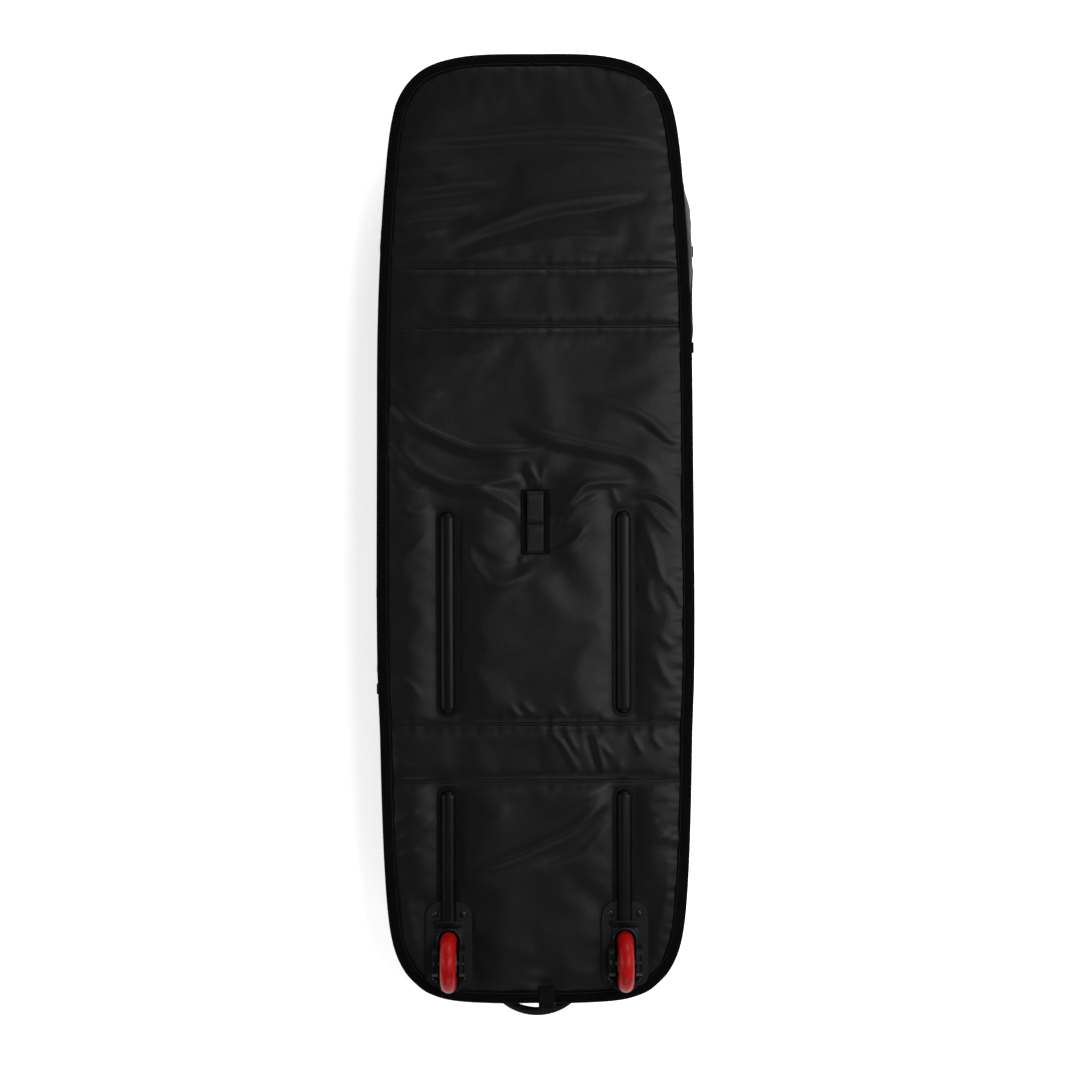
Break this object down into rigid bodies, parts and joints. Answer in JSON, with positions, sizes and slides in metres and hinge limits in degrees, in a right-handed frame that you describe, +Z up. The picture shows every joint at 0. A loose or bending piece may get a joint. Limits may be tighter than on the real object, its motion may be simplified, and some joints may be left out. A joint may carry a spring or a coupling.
{
  "type": "snowboard bag",
  "caption": "Wheeled padded clamshell bag with skid rails, bound edges, zip and carry handles, lying on its front panel.",
  "frame": {"origin": "middle of the outer face of the front panel, which the bag lies on", "axes": "+X across the bag, +Y along it towards the head end away from the wheels, +Z up towards the back panel and wheels"},
  "size_m": [0.4946, 1.4828, 0.223],
  "materials": {
    "shell_fabric": "coated woven polyester, satin",
    "foam": "closed-cell foam",
    "lining": "plain woven lining",
    "binding": "ribbed matte tape",
    "zip_tape": "woven tape",
    "zip_coil": "nylon teeth",
    "moulded_plastic": "moulded, satin",
    "tyre_red": "cast urethane, glossy",
    "hub_plastic": "moulded",
    "stiffener_sheet": "sheet",
    "backing_plastic": "moulded",
    "black_steel": "black oxide",
    "zinc_steel": "zinc plated",
    "zip_metal": "gunmetal, worn edges",
    "webbing": "woven webbing"
  },
  "bodies": {
    "front_half": {"front_skin": "shell_fabric", "front_foam_pads": "foam", "front_lining": "lining", "front_binding": "binding", "front_gusset_left": "shell_fabric", "front_gusset_right": "shell_fabric", "front_gusset_head": "shell_fabric", "front_gusset_foot": "shell_fabric", "zip_tape_front": "zip_tape", "zip_coil_front": "zip_coil"},
    "back_half": {"back_skin": "shell_fabric", "foam_head": "foam", "foam_spine_upper": "foam", "foam_middle": "foam", "foam_spine_lower": "foam", "foam_foot": "foam", "foot_stiffener": "stiffener_sheet", "back_lining": "lining", "back_binding": "binding", "back_gusset_left": "shell_fabric", "back_gusset_right": "shell_fabric", "back_gusset_head": "shell_fabric", "back_gusset_foot": "shell_fabric", "zip_tape_back": "zip_tape", "zip_coil_back": "zip_coil", "rail_upper_left": "moulded_plastic", "rail_upper_right": "moulded_plastic", "rail_lower_left": "moulded_plastic", "rail_lower_right": "moulded_plastic", "rail_screws": "zinc_steel", "wheel_housing_left": "moulded_plastic", "wheel_housing_right": "moulded_plastic", "housing_screws": "black_steel", "backing_plate_left": "backing_plastic", "backing_plate_right": "backing_plastic", "axle_bolt_left": "zinc_steel", "axle_bolt_right": "zinc_steel", "axle_nuts": "zinc_steel", "bearing_spacers": "zinc_steel", "keeper_base": "webbing", "keeper_webbing": "webbing", "foot_pull_tab": "webbing", "handle_anchors": "webbing"},
    "wheel_left": {"tyre_left": "tyre_red", "hub_left": "hub_plastic", "bearings_left": "zinc_steel"},
    "wheel_right": {"tyre_right": "tyre_red", "hub_right": "hub_plastic", "bearings_right": "zinc_steel"},
    "keeper_flap": {"keeper_flap": "webbing"},
    "handle_foot": {"grip_foot": "webbing"},
    "handle_head": {"grip_head": "webbing"},
    "handle_left": {"grip_left": "webbing"},
    "handle_right": {"grip_right": "webbing"},
    "slider_head": {"zip_slider_head": "zip_metal"},
    "slider_foot": {"zip_slider_foot": "zip_metal"},
    "puller_head": {"zip_puller_head": "zip_metal"},
    "puller_foot": {"zip_puller_foot": "zip_metal"}
  },
  "joints": [
    {"name": "shell_hinge", "type": "hinge", "parent": "front_half", "child": "back_half", "pos_m": [-0.2323, 0, 0.055], "axis": [0, -1, 0], "range_deg": [0, 110]},
    {"name": "wheel_left_spin", "type": "hinge", "parent": "back_half", "child": "wheel_left", "pos_m": [-0.1335, -0.655, 0.178], "axis": [1, 0, 0], "continuous": true},
    {"name": "wheel_right_spin", "type": "hinge", "parent": "back_half", "child": "wheel_right", "pos_m": [0.1335, -0.655, 0.178], "axis": [1, 0, 0], "continuous": true},
    {"name": "flap_lift", "type": "hinge", "parent": "back_half", "child": "keeper_flap", "pos_m": [0, 0.055, 0.1621], "axis": [-1, 0, 0], "range_deg": [0, 160]},
    {"name": "handle_foot_swing", "type": "hinge", "parent": "back_half", "child": "handle_foot", "pos_m": [0, -0.722, 0.105], "axis": [1, 0, 0], "range_deg": [-90, 90]},
    {"name": "handle_head_swing", "type": "hinge", "parent": "back_half", "child": "handle_head", "pos_m": [0, 0.722, 0.116], "axis": [1, 0, 0], "range_deg": [0, 150]},
    {"name": "handle_left_swing", "type": "hinge", "parent": "back_half", "child": "handle_left", "pos_m": [-0.24, -0.172, 0.116], "axis": [0, 1, 0], "range_deg": [0, 150]},
    {"name": "handle_right_swing", "type": "hinge", "parent": "back_half", "child": "handle_right", "pos_m": [0.24, 0.352, 0.116], "axis": [0, -1, 0], "range_deg": [0, 150]},
    {"name": "zip_head_slide", "type": "slide", "parent": "front_half", "child": "slider_head", "axis": [0, 1, 0], "range_m": [0, 0.37]},
    {"name": "zip_foot_slide", "type": "slide", "parent": "front_half", "child": "slider_foot", "axis": [0, -1, 0], "range_m": [0, 0.195]},
    {"name": "puller_head_swing", "type": "hinge", "parent": "slider_head", "child": "puller_head", "pos_m": [0.2362, -0.072, 0.055], "axis": [0, 0, -1], "range_deg": [0, 150]},
    {"name": "puller_foot_swing", "type": "hinge", "parent": "slider_foot", "child": "puller_foot", "pos_m": [0.2362, -0.094, 0.055], "axis": [0, 0, 1], "range_deg": [0, 150]}
  ]
}
